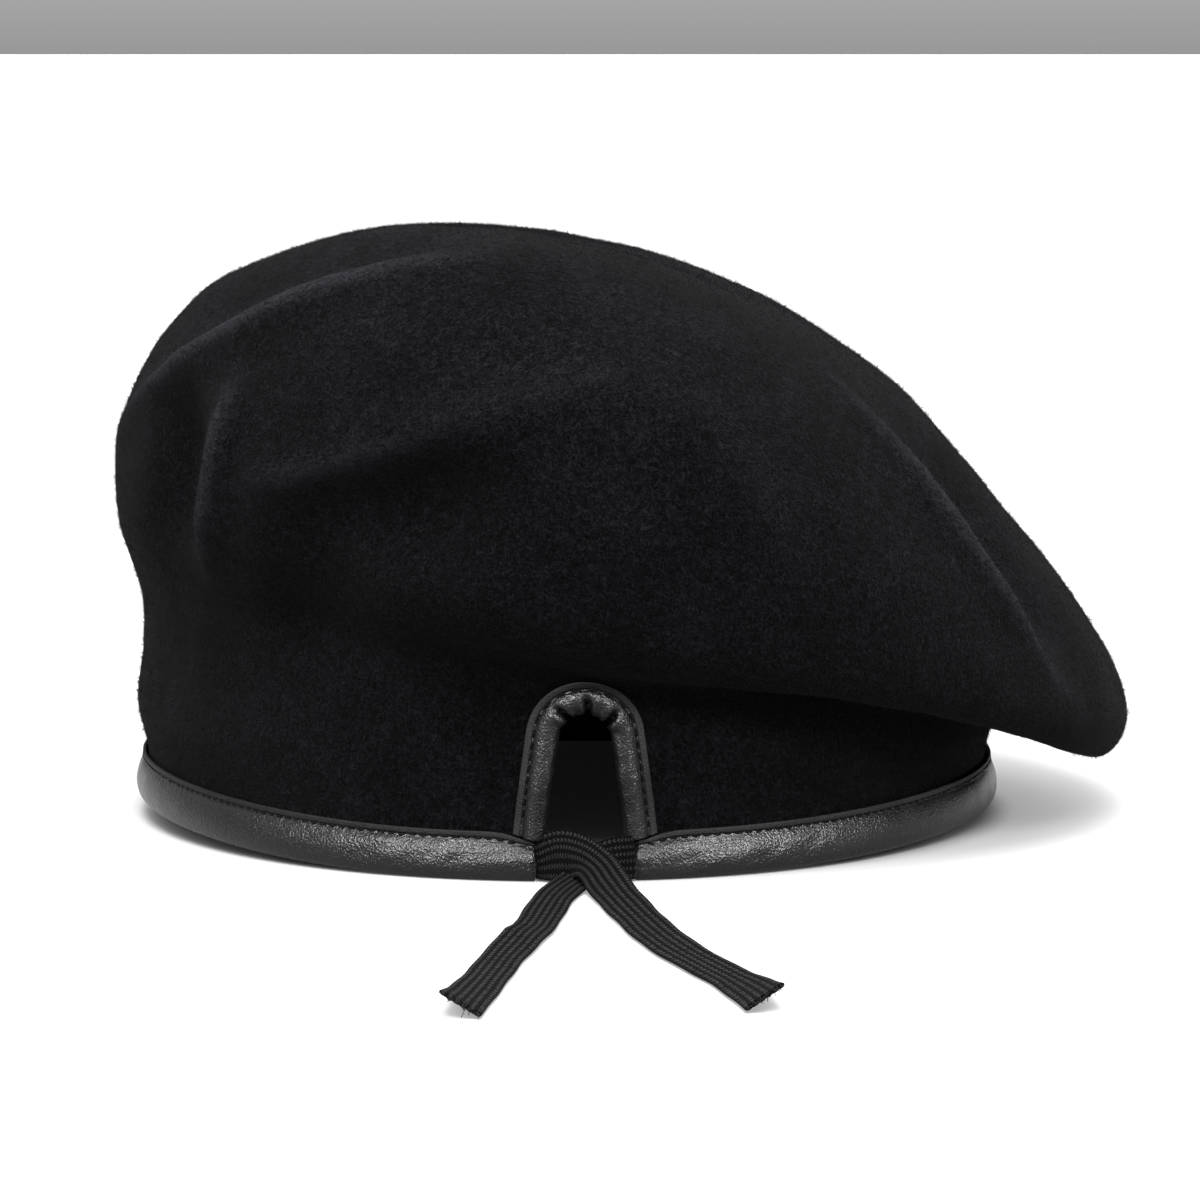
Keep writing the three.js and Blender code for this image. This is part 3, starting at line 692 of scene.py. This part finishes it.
def crown():
    """The felt shell; what the nap needs of it is returned."""
    rings = (len(RING_ROWS) - 1) * STEPS_PER_ROW
    place = (np.arange(rings) / STEPS_PER_ROW)[:, None]
    azimuth = (np.arange(CROWN_SIDES) / CROWN_SIDES * 2 * math.pi)[None, :]
    pole = np.array([0, 0, RING_ROWS[-1][1][1]], dtype=float)
    plain = main_form(place, azimuth)
    plain_normals = grid_normals(plain, pole)
    push, crest_highlight = fold_height(plain)
    lumps = lumps_at(plain, LUMP_ROWS)
    settle = np.clip((above_rim(plain) - BAND_HEIGHT - 2) / LUMPS_RISE, 0, 1)
    outer = plain + plain_normals * (push + lumps * settle)[..., None]
    normals = grid_normals(outer, pole)
    inner = outer - normals * FELT_THICKNESS
    inner[0, :, 2] = outer[0, :, 2]
    near_side = outer[..., 1] < -FELT_DEPTH_RADIUS / 2
    cut = near_side & (slit_depth(outer[..., 0], outer[..., 2]) > 0)

    a = np.arange(rings - 1)[:, None] * CROWN_SIDES + np.arange(CROWN_SIDES)[None, :]
    after = (np.arange(CROWN_SIDES) + 1) % CROWN_SIDES
    b = np.arange(rings - 1)[:, None] * CROWN_SIDES + after[None, :]
    quads = np.stack([a, b, b + CROWN_SIDES, a + CROWN_SIDES], axis=-1)
    gone = cut[:-1] | cut[1:] | cut[:-1, after] | cut[1:, after]
    kept = quads[~gone]
    size = rings * CROWN_SIDES
    poles = [2 * size, 2 * size + 1]
    faces = kept.tolist() + (kept[:, ::-1] + size).tolist()
    last = (rings - 1) * CROWN_SIDES
    for i in range(CROWN_SIDES):
        j = int(after[i])
        faces.append([last + i, last + j, poles[0]])
        faces.append([last + j + size, last + i + size, poles[1]])
    edges = np.concatenate([kept[:, [k, (k + 1) % 4]] for k in range(4)])
    keys = set(map(tuple, edges.tolist()))
    top_ring = set(range(last, last + CROWN_SIDES))
    for u, v in keys:
        if (v, u) not in keys and not (u in top_ring and v in top_ring):
            faces.append([v, u, u + size, v + size])
    inner_pole = pole - (0, 0, FELT_THICKNESS)
    points = np.concatenate([outer.reshape(-1, 3), inner.reshape(-1, 3), [pole, inner_pole]])
    used = np.zeros(len(points), dtype=bool)
    for face in faces:
        used[face] = True
    new_index = np.cumsum(used) - 1
    faces = [[int(new_index[v]) for v in face] for face in faces]
    piece = add_mesh("felt_crown", placed(points[used]), faces, [felt])
    # Only the outer face carries the painted crest highlight.
    both = np.concatenate([crest_highlight.ravel(), np.zeros(size + 2)])
    mark_crest_highlight(piece, both[used])
    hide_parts("crown")
    return outer, normals, kept, crest_highlight


crown_points, crown_normals, crown_quads, crown_crest_highlight = crown()


# The felt's nap: short fibres that lie nearly flat, in a few pieces

NAP_PIECES = 4
FIBRES_PER_PIECE = 30000
FIBRE_LENGTHS = (0.5, 1.9)
FIBRE_RADII = (0.036, 0.06)
FIBRE_LIFT = 13  # degrees; the fibres rise off the felt by about twice this
FIBRE_LIFT_ENDS = (2, 80)
FIBRE_ROOT = 0.08  # a fibre starts this deep in the felt
NAP_FROM_SLIT = 5  # no fibre grows nearer to the slit, where its binding covers the felt


def nap(name, count):
    points = crown_points.reshape(-1, 3)
    normals = crown_normals.reshape(-1, 3)
    quads = crown_quads[above_rim(points)[crown_quads].min(axis=1) > BAND_HEIGHT + 1]
    corners = points[quads]
    diagonals = corners[:, 2] - corners[:, 0], corners[:, 3] - corners[:, 1]
    area = np.linalg.norm(np.cross(*diagonals), axis=1)
    choice = rng.choice(len(quads), count, p=area / area.sum())
    s, t = rng.random((count, 1)), rng.random((count, 1))
    corner_shares = [(1 - s) * (1 - t), s * (1 - t), s * t, (1 - s) * t]
    root = sum(share * corners[choice, k] for k, share in enumerate(corner_shares))
    # Each fibre takes the painted crest highlight of the felt at its root.
    root_highlight = crown_crest_highlight.ravel()[quads[choice, 0]]
    normal = unit(sum(share * normals[quads[choice, k]] for k, share in enumerate(corner_shares)))
    outside = slit_depth(root[:, 0], root[:, 2]) < -NAP_FROM_SLIT
    keep = outside | (root[:, 1] > -FELT_DEPTH_RADIUS / 2)
    root, normal, root_highlight = root[keep], normal[keep], root_highlight[keep]
    count = len(root)
    tangent = unit(np.cross(normal, rng.normal(size=(count, 3))))
    lift = np.radians(rng.gamma(2.0, FIBRE_LIFT, (count, 1)).clip(*FIBRE_LIFT_ENDS))
    direction = tangent * np.cos(lift) + normal * np.sin(lift)
    length = rng.uniform(*FIBRE_LENGTHS, (count, 1))
    radius = rng.uniform(*FIBRE_RADII, (count, 1))
    side = unit(np.cross(direction, normal))
    other = np.cross(direction, side)
    base = root - normal * FIBRE_ROOT
    ring = [base + radius * (side * math.cos(k) + other * math.sin(k)) for k in (0, 2.1, 4.2)]
    tip = root + direction * length
    verts = np.stack([*ring, tip], axis=1).reshape(-1, 3)
    start = np.arange(count)[:, None] * 4
    faces = np.concatenate([start + f for f in ([0, 1, 3], [1, 2, 3], [2, 0, 3], [2, 1, 0])])
    piece = add_mesh(name, placed(verts), faces.tolist(), [fibre])
    mark_crest_highlight(piece, np.repeat(root_highlight, 4))


for number in range(NAP_PIECES):
    nap(f"felt_nap_{number + 1}", FIBRES_PER_PIECE)


# The leather band

BAND_STATIONS = 700
END_DIP = 1.9  # the band's top edge drops by this much at its two ends
END_DIP_REACH = 5
STITCH_PITCH = 2.3
STITCH_LENGTH = 1.5
STITCH_HEIGHT = 8.65
STITCH_STEPS = 7
STITCH_SIDES = 6
CUT_EDGE_FROM = 8.85  # the strip above this height is the leather's cut edge
BAND_WRINKLES = [(7, 1.3, 0.7), (3.2, 5.7, 0.35)]
TAUT_SHARE = 0.12  # this share of the wrinkles shows all round,
SLACK_SHARE = 0.5  # and this much more at the band's two ends
SLACK_REACH = 38
PUCKER_HEIGHT = 8.4  # the stitches draw the leather in most at this height
PUCKER_SPREAD = 1.1
PUCKER_DEPTH = 0.22


def wall_frame(azimuth):
    """A point on the felt's outer face at the height of the rim's underside, and the way out."""
    cos, sin = np.cos(azimuth), np.sin(azimuth)
    flat = np.zeros_like(cos)
    point = [FELT_WIDTH_RADIUS * cos, FELT_DEPTH_RADIUS * sin, rim_lift(azimuth)]
    point = np.stack(point, axis=-1)
    out = unit(np.stack([cos / FELT_WIDTH_RADIUS, sin / FELT_DEPTH_RADIUS, flat], axis=-1))
    return point, out


BAND_START = 2 * math.pi - math.acos((SLIT_X - BAND_GAP_HALF_WIDTH) / FELT_WIDTH_RADIUS)
BAND_END = -math.acos((SLIT_X + BAND_GAP_HALF_WIDTH) / FELT_WIDTH_RADIUS)
BAND_TRAVEL = (BAND_START - BAND_END) * (FELT_WIDTH_RADIUS + FELT_DEPTH_RADIUS) / 2


def puckers(travel):
    """How tightly a row of stitches draws the leather in: 1 once to each stitch, 0 halfway."""
    return np.cos(travel / STITCH_PITCH * math.pi) ** 8


def end_dip(from_end):
    return END_DIP * np.exp(-((np.maximum(from_end, 0) / END_DIP_REACH) ** 2))


def mark_strip(piece, strip, stations):
    """Gives the cut leather to the faces between neighbouring points of the strip."""
    in_strip = strip & np.roll(strip, -1)
    index = np.zeros(len(piece.data.polygons), dtype=np.int32)
    index[:-2] = np.tile(in_strip, stations - 1)
    piece.data.polygons.foreach_set("material_index", index)


def band():
    """The leather swept round the hem; its section gives the way out and up from wall_frame."""
    inside = -FELT_THICKNESS - PIECE_GAP
    outline = [
        (PIECE_GAP, 10), (PIECE_GAP, 6), (PIECE_GAP, 2.3), (-1.2, 2.3), (inside, 2.3),
        (inside, 6), (inside, 10), (inside - 0.9, 10), (inside - 0.9, 6), (inside - 0.9, 2),
        (inside - 0.4, 0.6), (inside + 0.4, 0), (-0.8, 0), (1.2, 0), (2.05, 0.6), (2.5, 1.9),
        (2.6, 3.1), (2.5, 4.4), (2.2, 5.7), (1.75, 6.9), (1.25, 7.8), (0.85, 8.4), (0.85, 8.8),
        (1.15, 9.0), (1.2, 9.9), (1.1, 10),
    ]
    outline = rounded(outline, 2)
    azimuth = np.linspace(BAND_START, BAND_END, BAND_STATIONS)
    origin, out = wall_frame(azimuth)
    travel = np.linspace(0, BAND_TRAVEL, BAND_STATIONS)
    from_end = np.minimum(travel, BAND_TRAVEL - travel)
    across, height = outline[:, 0][None, :], outline[:, 1][None, :]
    points = origin[:, None, :] + out[:, None, :] * across[..., None]
    points = points + np.array([0, 0, 1.0]) * height[..., None]
    tangent = np.roll(outline, -1, axis=0) - np.roll(outline, 1, axis=0)
    normal = unit(np.stack([-tangent[:, 1], tangent[:, 0]], axis=1))
    outward = out[:, None, :] * normal[None, :, 0:1] + np.array([0, 0, 1.0]) * normal[None, :, 1:2]
    visible = np.clip((outline[:, 0] - 0.8) / 0.6, 0, 1)[None, :]
    slack = TAUT_SHARE + SLACK_SHARE * np.exp(-((from_end / SLACK_REACH) ** 2))[:, None]
    place = np.stack(np.broadcast_arrays(
        travel[:, None] + height * 0.9, height * 1.3, np.zeros((1, 1))
    ), axis=-1)
    wrinkle = lumps_at(place, BAND_WRINKLES)
    on_roll = np.clip((height - 1.0) / 2, 0, 1) * np.clip((9.0 - height) / 2, 0, 1)
    near_stitch = np.exp(-(((height - PUCKER_HEIGHT) / PUCKER_SPREAD) ** 2))
    draw = puckers(travel)[:, None] * near_stitch * PUCKER_DEPTH
    shift = (wrinkle * slack * on_roll + draw) * visible
    points = points - outward * shift[..., None]
    points[..., 2] -= end_dip(from_end)[:, None] * np.clip((height - 4) / 6, 0, 1) * (across > -1)
    faces = swept_faces(BAND_STATIONS, len(outline))
    piece = add_mesh(
        "rim_band", placed(points.reshape(-1, 3)), faces, [leather, cut_leather],
        flat=(len(faces) - 2, len(faces) - 1),
    )
    mark_strip(piece, (outline[:, 1] > CUT_EDGE_FROM) & (outline[:, 0] > 0.4), BAND_STATIONS)
    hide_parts("band")


def stitch_arch(t):
    """How high a stitch stands from end to end, t being -1 to 1: it dives into its two holes."""
    return 1 - 2.2 * t**4


def band_stitches():
    count = int(BAND_TRAVEL / STITCH_PITCH) - 1
    travel = (np.arange(count) + 1) * STITCH_PITCH
    azimuth = BAND_START + (BAND_END - BAND_START) * travel / BAND_TRAVEL
    origin, out = wall_frame(azimuth)
    ahead = unit(np.cross(out, (0, 0, 1.0)))
    centre = origin + out * 0.95 + np.array([0, 0, STITCH_HEIGHT])
    centre[:, 2] += rng.normal(0, 0.05, count) - end_dip(np.minimum(travel, BAND_TRAVEL - travel))
    t = np.linspace(-1, 1, STITCH_STEPS)[None, :, None]
    along, rise = ahead[:, None, :] * t * STITCH_LENGTH / 2, out[:, None, :] * (0.2 * stitch_arch(t))
    points, faces = threads(centre[:, None, :] + along + rise, 0.19, STITCH_SIDES)
    piece = add_mesh("rim_stitches", placed(points), faces, [stitch_thread])


band()
band_stitches()


# The leather that binds the slit

def near_wall(x, z):
    """The felt's outer face at x and a height on the near side, without folds."""
    azimuth = np.full(x.shape, -math.pi / 2)
    top = float(row_number("rim"))
    for _ in range(4):
        low, high = np.zeros(x.shape), np.full(x.shape, top)
        for _ in range(18):
            middle = (low + high) / 2
            below = main_form(middle, azimuth)[..., 2] < z
            low, high = np.where(below, middle, low), np.where(below, high, middle)
        point = main_form(low, azimuth)
        azimuth = -np.arccos(x / np.hypot(point[..., 0], point[..., 1]))
    return point


def beside_slit(edge, inward, b, n):
    """A point near the felt's face, over the opening by b from the slit's edge and proud by n."""
    x = SLIT_X + edge[..., 0] + inward[..., 0] * b
    z = edge[..., 1] + inward[..., 1] * b
    point = near_wall(x, z)
    step = 0.5
    across = near_wall(x + step, z) - near_wall(x - step, z)
    upwards = near_wall(x, z + step) - near_wall(x, z - step)
    outward = unit(np.cross(across, upwards))
    point[..., 1] += n / outward[..., 1]
    return point


def slit_stations(leg_steps, arch_steps):
    """Places along the slit's edge from foot to foot, with the way in and the travel along it."""
    spread = SLIT_SPREAD
    foot = BAND_HEIGHT + PIECE_GAP
    share = np.arange(leg_steps) / leg_steps
    leg_top = SLIT_ARCH_HEIGHT + SLIT_ARCH_RADIUS * math.sin(spread)
    height = foot + (leg_top - foot) * share
    width = SLIT_ARCH_RADIUS / math.cos(spread) + (SLIT_ARCH_HEIGHT - height) * math.tan(spread)
    turn = share * spread
    right = np.stack([width, height], axis=1)
    right_in = np.stack([-np.cos(turn), -np.sin(turn)], axis=1)
    angle = np.linspace(spread, math.pi - spread, arch_steps)
    out = np.stack([np.cos(angle), np.sin(angle)], axis=1)
    arch = out * SLIT_ARCH_RADIUS + (0, SLIT_ARCH_HEIGHT)
    mirror = np.array([-1, 1])
    edge = np.concatenate([right, arch, right[::-1] * mirror])
    inward = np.concatenate([right_in, -out, right_in[::-1] * mirror])
    travel = np.concatenate([[0], np.cumsum(np.linalg.norm(np.diff(edge, axis=0), axis=1))])
    return edge, inward, travel


PLEAT_ANGLES = (42, 88, 132)  # degrees round the slit's top from the right
PLEAT_DEPTH = 2.0
PLEAT_WIDTH = 0.6
PLEAT_SWELL = 0.35  # beside a pleat the leather swells by this
PLEAT_SWELL_AT = 1.7
BINDING_WRINKLES = [(3.4, 2.2, 0.22), (1.5, 8.1, 0.1)]
LEG_STEPS = 70
ARCH_STEPS = 150
FOOT_REACH = 6  # the binding's foot follows the band's dipped ends over this height


def binding():
    """The leather swept round the slit; its section gives b and n as beside_slit takes them."""
    slot_back = -FELT_THICKNESS - PIECE_GAP
    outline = rounded([
        (0.3, 0.3), (0.3, -1.2), (0.3, slot_back), (-2, slot_back), (-5, slot_back),
        (-5, -3.6), (-2, -3.65), (-0.6, -3.7), (0.8, -3.3), (1.5, -2.4), (1.7, -0.7),
        (1.5, 0.9), (0.7, 2), (-0.7, 2.4), (-2.1, 2.1), (-2.9, 1.4), (-3.3, 0.75), (-3.6, 0.75),
        (-3.8, 1.0), (-5, 0.9), (-5.05, 0.3), (-2, 0.3),
    ], 2)
    edge, inward, travel = slit_stations(LEG_STEPS, ARCH_STEPS)
    stations, count = len(edge), len(outline)
    b = np.broadcast_to(outline[:, 0][None, :], (stations, count)).copy()
    n = np.broadcast_to(outline[:, 1][None, :], (stations, count)).copy()
    tangent = np.roll(outline, -1, axis=0) - np.roll(outline, 1, axis=0)
    normal = unit(np.stack([tangent[:, 1], -tangent[:, 0]], axis=1))
    angle = np.degrees(np.arctan2(edge[:, 1] - SLIT_ARCH_HEIGHT, edge[:, 0]))
    reach = np.clip((outline[:, 0] + 2.6) / 2.2, 0, 1) * (outline[:, 1] > slot_back)
    reach = reach * ((outline[:, 0] > 0.35) | (outline[:, 1] > 0.5))
    pull = np.zeros((stations, count))
    for pleat in PLEAT_ANGLES:
        away = np.radians(angle - pleat)[:, None] * SLIT_ARCH_RADIUS
        away = away + (outline[:, 0][None, :] + 2) * 0.15
        pull += PLEAT_DEPTH * np.exp(-((away / PLEAT_WIDTH) ** 2))
        pull -= PLEAT_SWELL * np.exp(-((np.abs(away) - PLEAT_SWELL_AT) ** 2))
    place = np.stack(np.broadcast_arrays(
        travel[:, None], outline[:, 0][None, :], outline[:, 1][None, :]
    ), axis=-1)
    wrinkle = lumps_at(place, BINDING_WRINKLES)
    near_stitch = np.exp(-(((outline[:, 0] + 3.1) / 0.7) ** 2))[None, :]
    draw = puckers(travel)[:, None] * near_stitch * 0.25
    shift = (pull + wrinkle + draw * (outline[:, 1] > 0.4)) * reach[None, :]
    b -= normal[None, :, 0] * shift
    n -= normal[None, :, 1] * shift
    points = beside_slit(edge[:, None, :], inward[:, None, :], b, n)
    beyond_gap = np.abs(points[..., 0] - SLIT_X) - BAND_GAP_HALF_WIDTH
    near_foot = np.clip(1 - (points[..., 2] - BAND_HEIGHT) / FOOT_REACH, 0, 1)
    points[..., 2] -= end_dip(beyond_gap) * near_foot
    faces = swept_faces(stations, count)
    piece = add_mesh(
        "slit_binding", placed(points.reshape(-1, 3)), faces, [leather, cut_leather],
        flat=(len(faces) - 2, len(faces) - 1),
    )
    mark_strip(piece, (outline[:, 0] < -3.7) & (outline[:, 1] > 0.2), stations)
    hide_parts("notch_binding")


def binding_stitches():
    edge, inward, travel = slit_stations(LEG_STEPS, ARCH_STEPS)
    count = int(travel[-1] / STITCH_PITCH)
    at = (np.arange(count) + 0.5) * STITCH_PITCH

    def read(values, where):
        return np.stack([np.interp(where, travel, values[:, k]) for k in range(2)], axis=1)

    t = np.linspace(-1, 1, STITCH_STEPS)
    where = (at[:, None] + t[None, :] * STITCH_LENGTH / 2).ravel()
    rise = np.tile(0.8 + 0.2 * stitch_arch(t), count)
    spot = beside_slit(read(edge, where), read(inward, where), np.full(len(where), -3.5), rise)
    points, faces = threads(spot.reshape(count, len(t), 3), 0.18, STITCH_SIDES)
    piece = add_mesh("slit_stitches", placed(points), faces, [stitch_thread])


binding()
binding_stitches()


# Floor, backdrop and light

FLOOR_HALF = 150
GLOW_REACH = (0.091, 0.1)  # the floor's glow rises between these distances from the middle
GLOW_STRENGTH = (0.004, 0.3)
LIGHT_AIM = (0, -0.05, 0.03)
SKY_AT_HORIZON = 0.4
SKY_RISE = 1.25  # the sky's strength rises by this up to the zenith


def stage_floor():
    """Pale paper that glows a little round the hat and faintly inside it, to keep shadows light."""
    material, tree, bsdf = shader("studio_floor", 0.7, Specular_IOR_Level=0.1)
    bsdf.inputs["Emission Color"].default_value = (1, 1, 1, 1)
    place = node(tree, "ShaderNodeTexCoord").outputs["Object"]
    paper = texture(tree, place, "ShaderNodeTexNoise", 300, in_Detail=3)
    colour = ramp(tree, paper.outputs["Fac"], [(0.0, (0.64, 0.64, 0.64)), (1.0, (0.66, 0.66, 0.66))])
    tree.links.new(colour, bsdf.inputs["Base Color"])
    away = node(tree, "ShaderNodeVectorMath", operation="DISTANCE")
    tree.links.new(place, away.inputs[0])
    away.inputs[1].default_value = RING_CENTRE
    glow = map_range(tree, away.outputs["Value"], *GLOW_REACH, *GLOW_STRENGTH, smooth=True)
    tree.links.new(glow, bsdf.inputs["Emission Strength"])
    mesh = bpy.data.meshes.new("floor")
    corners = [(x * FLOOR_HALF, y * FLOOR_HALF, 0) for x, y in ((-1, -1), (1, -1), (1, 1), (-1, 1))]
    mesh.from_pydata(corners, [], [(0, 1, 2, 3)])
    mesh.materials.append(material)
    floor = bpy.data.objects.new("floor", mesh)
    bpy.context.scene.collection.objects.link(floor)
    floor.visible_diffuse = False


def soft_sun(name, origin, spread, power):
    """Light from one side of the sky, as wide as a large diffuser seen over spread degrees."""
    data = bpy.data.lights.new(name, "SUN")
    data.angle = math.radians(spread)
    data.energy = power
    light = bpy.data.objects.new(name, data)
    light.location = origin
    light.rotation_euler = Vector(origin).to_track_quat("Z", "Y").to_euler()
    bpy.context.scene.collection.objects.link(light)


def area_light(name, place, width, height, power):
    data = bpy.data.lights.new(name, "AREA")
    data.shape = "RECTANGLE"
    data.size = width
    data.size_y = height
    data.energy = power
    light = bpy.data.objects.new(name, data)
    light.location = place
    light.rotation_euler = (Vector(place) - Vector(LIGHT_AIM)).to_track_quat("Z", "Y").to_euler()
    bpy.context.scene.collection.objects.link(light)
    return light


stage_floor()
soft_sun("light_top", (-0.05, -0.35, 1), 34, 2.1)
area_light("light_front", (0.05, -1.1, 0.85), 0.6, 0.3, 7)
shine = bpy.data.collections.new("leather_pieces")
for piece_name in ("rim_band", "slit_binding"):
    shine.objects.link(bpy.data.objects[piece_name])
for light_name, place in {
    "shine_left": (-0.62, -0.92, 0.62),
    "shine_right": (0.72, -0.84, 0.62),
}.items():
    light = area_light(light_name, place, 0.4, 0.3, 46)
    light.light_linking.receiver_collection = shine

world = bpy.data.worlds.new("studio")
bpy.context.scene.world = world
world.use_nodes = True
sky = world.node_tree
direction = node(sky, "ShaderNodeSeparateXYZ")
sky.links.new(node(sky, "ShaderNodeTexCoord").outputs["Generated"], direction.inputs["Vector"])
above_horizon = map_range(sky, direction.outputs["Z"], -0.08, 0.02, 0, 1)
rising = maths(sky, "MULTIPLY_ADD", direction.outputs["Z"], SKY_RISE, SKY_AT_HORIZON)
strength = maths(sky, "MULTIPLY", above_horizon, rising)
sky.nodes["Background"].inputs["Color"].default_value = (1, 1, 1, 1)
sky.links.new(strength, sky.nodes["Background"].inputs["Strength"])
bpy.context.scene.view_settings.view_transform = "Standard"
